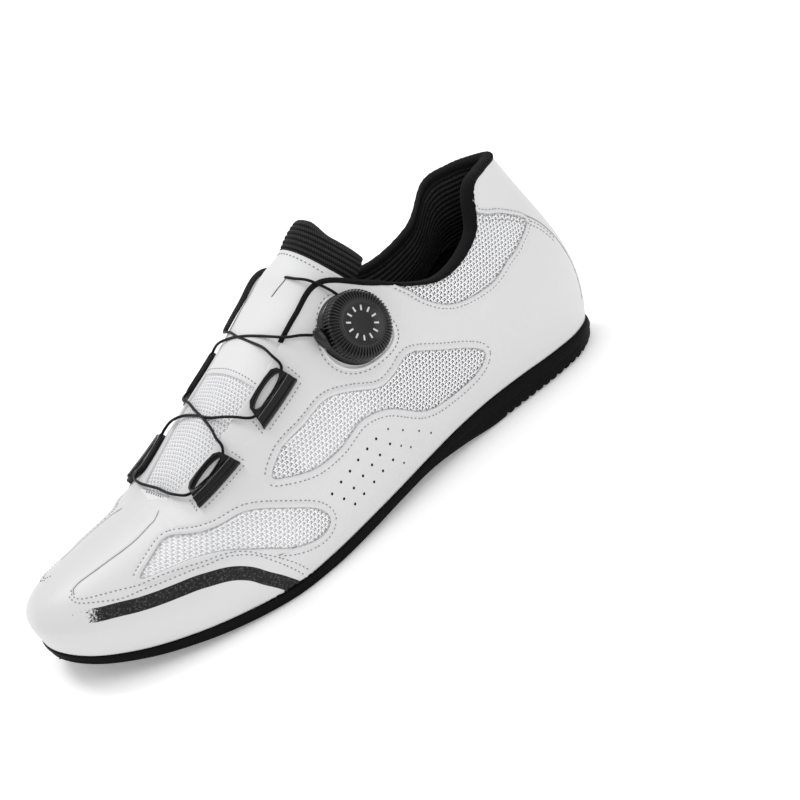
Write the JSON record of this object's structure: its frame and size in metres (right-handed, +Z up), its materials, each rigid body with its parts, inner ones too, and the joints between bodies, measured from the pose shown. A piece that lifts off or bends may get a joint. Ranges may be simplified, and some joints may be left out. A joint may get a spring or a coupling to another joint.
{
  "type": "cycling shoe",
  "caption": "Low-cut left cycling shoe with a rotary wire closure, sunk mesh windows, padded knit collar and a moulded lugged sole.",
  "frame": {"origin": "on the floor, under the middle of the shoe's box", "axes": "+Z up, toe towards -Y, outer side of this left shoe towards +X"},
  "size_m": [0.1021, 0.2832, 0.1126],
  "materials": {
    "white_leather": "smooth coated white microfibre, with sunk white mesh windows",
    "black_rubber": "matt moulded black rubber",
    "black_knit": "ribbed black knit",
    "dark_footbed": "dark textile footbed",
    "black_plastic": "satin moulded black plastic",
    "black_wire": "coated black wire"
  },
  "bodies": {
    "root": {"outsole": "black_rubber", "upper": "white_leather", "insole": "dark_footbed", "collar_lining": "black_knit", "tongue": "white_leather", "tongue_cuff": "black_knit", "outer_upper_guide": "black_plastic", "outer_lower_guide": "black_plastic", "inner_upper_guide": "black_plastic", "inner_lower_guide": "black_plastic", "inner_strap_guide": "black_knit", "dial_base": "black_plastic", "dial_knob": "black_plastic", "wire_top": "black_wire", "wire_upper_cross": "black_wire", "wire_lower_cross": "black_wire", "wire_bottom": "black_wire"}
  },
  "joints": []
}
